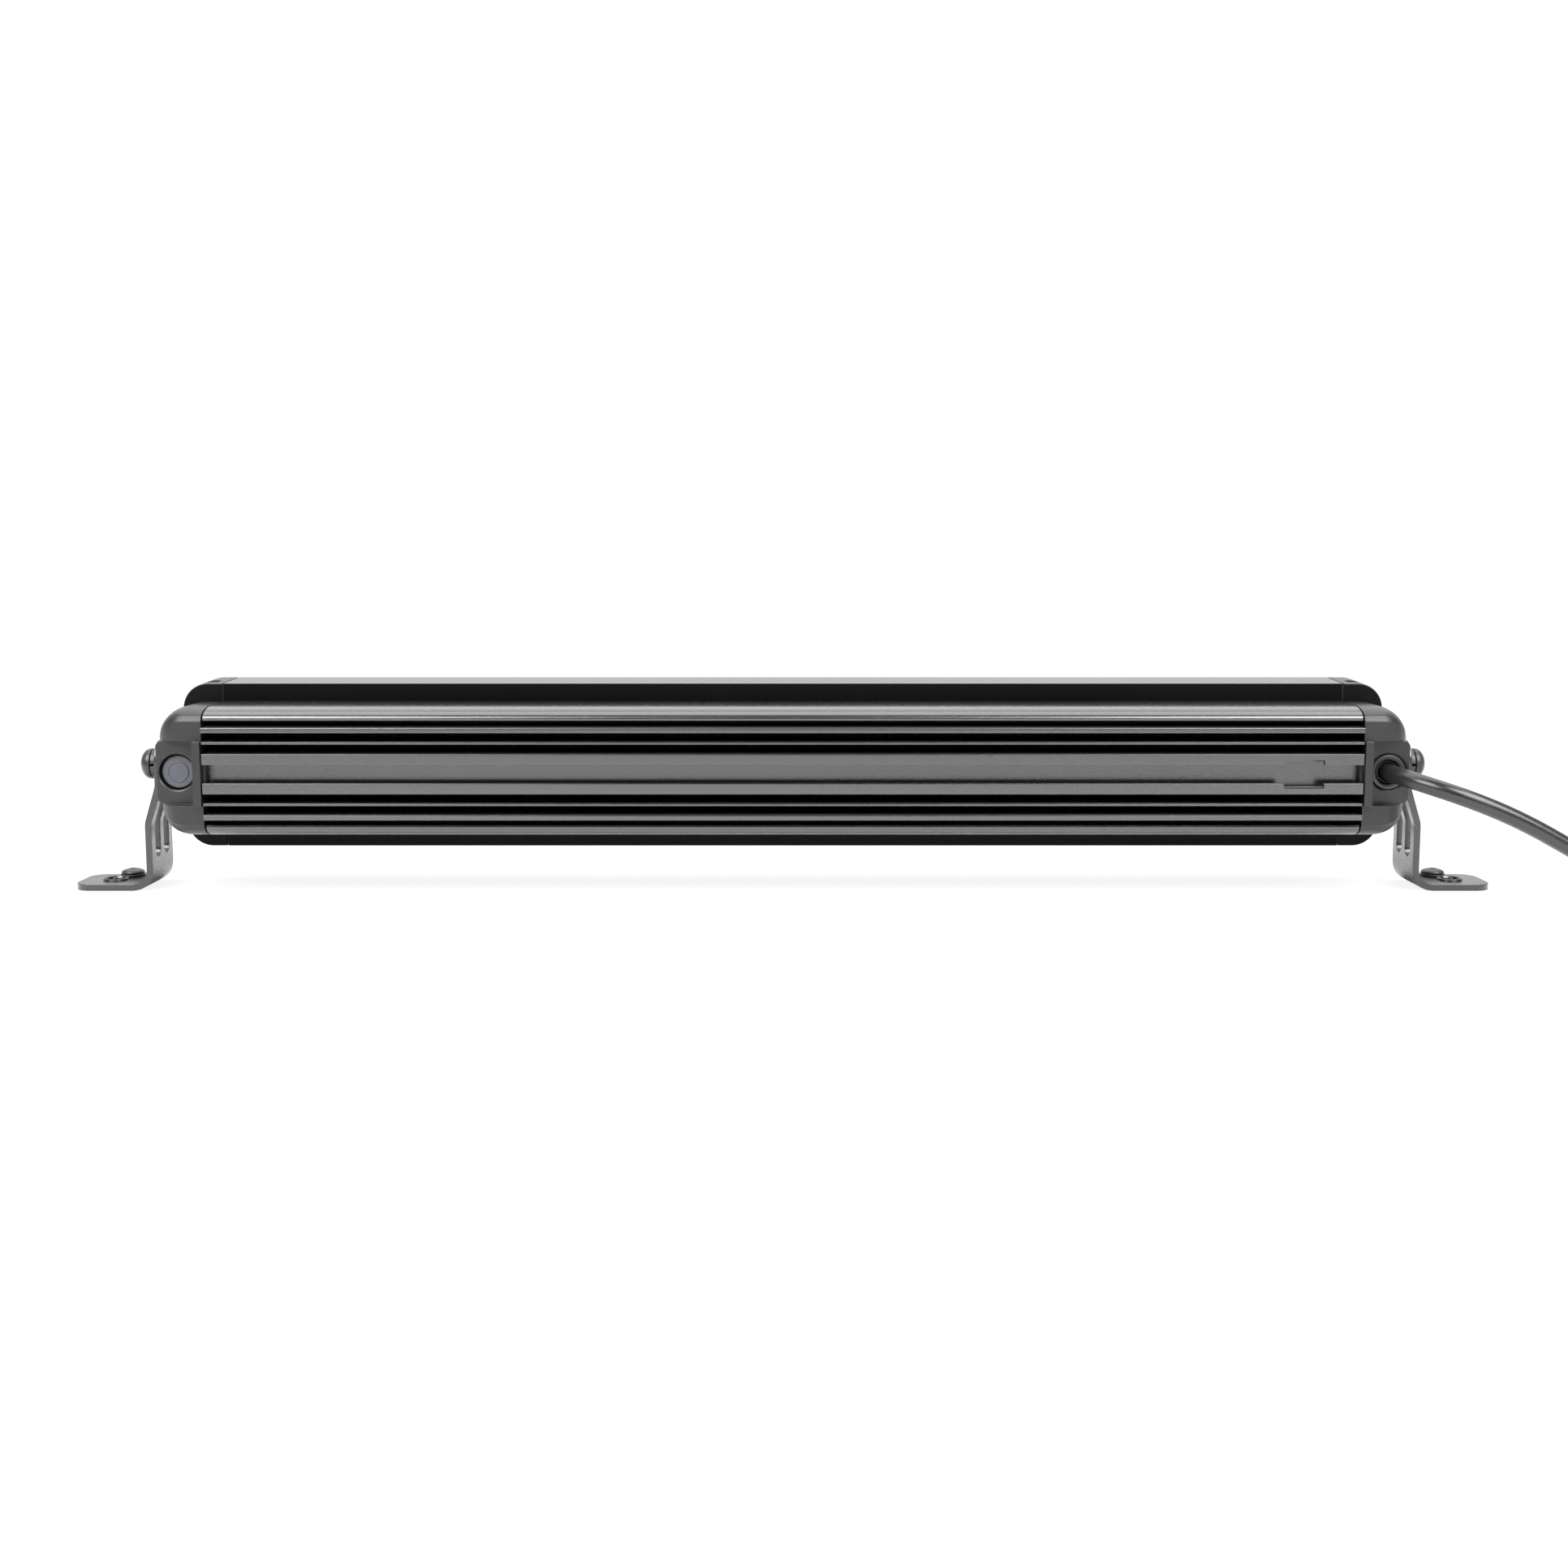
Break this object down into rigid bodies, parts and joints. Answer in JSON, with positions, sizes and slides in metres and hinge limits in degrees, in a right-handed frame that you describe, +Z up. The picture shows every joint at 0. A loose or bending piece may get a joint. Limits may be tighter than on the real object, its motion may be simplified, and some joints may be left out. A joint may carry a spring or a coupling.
{
  "type": "led light bar",
  "caption": "Finned LED light bar with a rear T-slot, cast end caps, tilting plate brackets at both ends and a coiled lead with a sealed plug.",
  "frame": {"origin": "middle of the bar on the surface its feet stand on", "axes": "+X along the bar towards the lead end, +Y the way the beam points, +Z up"},
  "size_m": [0.856, 0.1061, 0.0982],
  "materials": {
    "black_anodised": "black anodised extrusion, satin gloss",
    "black_cast": "black powder-coated casting, semi-gloss",
    "black_steel": "black zinc-plated steel",
    "black_plate": "black semi-gloss paint on steel plate",
    "black_rubber": "soft black rubber",
    "lead_jacket": "smooth glossy black cable jacket",
    "vent_plastic": "slate-grey plastic",
    "nylon": "black nylon",
    "clear_lens": "clear polycarbonate",
    "mirror_coat": "vacuum-metallised plastic, bright",
    "board_white": "white solder mask",
    "board_green": "green solder mask",
    "thermal_grey": "grey thermal pad",
    "flex_film": "amber flexible film",
    "wire_red": "red insulation",
    "wire_black": "black insulation",
    "plug_plastic": "black moulded plastic",
    "seal_red": "red silicone",
    "wedge_orange": "orange plastic",
    "tin_plate": "tin-plated"
  },
  "bodies": {
    "housing": {"housing_extrusion": "black_anodised", "end_cap_left": "black_cast", "end_gasket_left": "black_rubber", "cap_screw_left_1": "black_steel", "cap_screw_left_2": "black_steel", "cap_screw_left_3": "black_steel", "cap_screw_left_4": "black_steel", "pivot_washer_left": "nylon", "flat_washer_left": "black_steel", "spring_washer_left": "black_steel", "pivot_bolt_left": "black_steel", "end_cap_right": "black_cast", "end_gasket_right": "black_rubber", "cap_screw_right_1": "black_steel", "cap_screw_right_2": "black_steel", "cap_screw_right_3": "black_steel", "cap_screw_right_4": "black_steel", "pivot_washer_right": "nylon", "flat_washer_right": "black_steel", "spring_washer_right": "black_steel", "pivot_bolt_right": "black_steel", "front_lens": "clear_lens", "lens_seal": "black_rubber", "reflector_upper": "mirror_coat", "reflector_lower": "mirror_coat", "led_board": "board_white", "thermal_pad": "thermal_grey", "driver_board": "board_green", "board_link": "flex_film", "internal_lead_positive": "wire_red", "internal_lead_negative": "wire_black", "board_screw_1": "tin_plate", "board_screw_2": "tin_plate", "board_screw_3": "tin_plate", "board_screw_4": "tin_plate", "vent_body": "plug_plastic", "vent_cap": "vent_plastic", "vent_o_ring": "black_rubber", "gland_sleeve": "plug_plastic", "gland_grommet": "black_rubber", "power_cable": "lead_jacket", "cable_coil": "lead_jacket", "cable_tail": "lead_jacket", "cable_tie": "nylon", "connector_body": "plug_plastic", "connector_wedge": "wedge_orange", "connector_seal": "seal_red", "connector_pin_1": "tin_plate", "connector_pin_2": "tin_plate"},
    "left_bracket": {"bracket_left": "black_plate", "foot_screw_left": "black_steel", "foot_washer_left": "black_steel"},
    "right_bracket": {"bracket_right": "black_plate", "foot_screw_right": "black_steel", "foot_washer_right": "black_steel"}
  },
  "joints": [
    {"name": "left_tilt", "type": "hinge", "parent": "housing", "child": "left_bracket", "pos_m": [-0.2936, 0.003, 0.059], "axis": [1, 0, 0], "range_deg": [-45, 180]},
    {"name": "right_tilt", "type": "hinge", "parent": "housing", "child": "right_bracket", "pos_m": [0.2936, 0.003, 0.059], "axis": [1, 0, 0], "range_deg": [-45, 180]}
  ],
  "couplings": [
    {"joint": "right_tilt", "follows": "left_tilt", "ratio": 1}
  ]
}
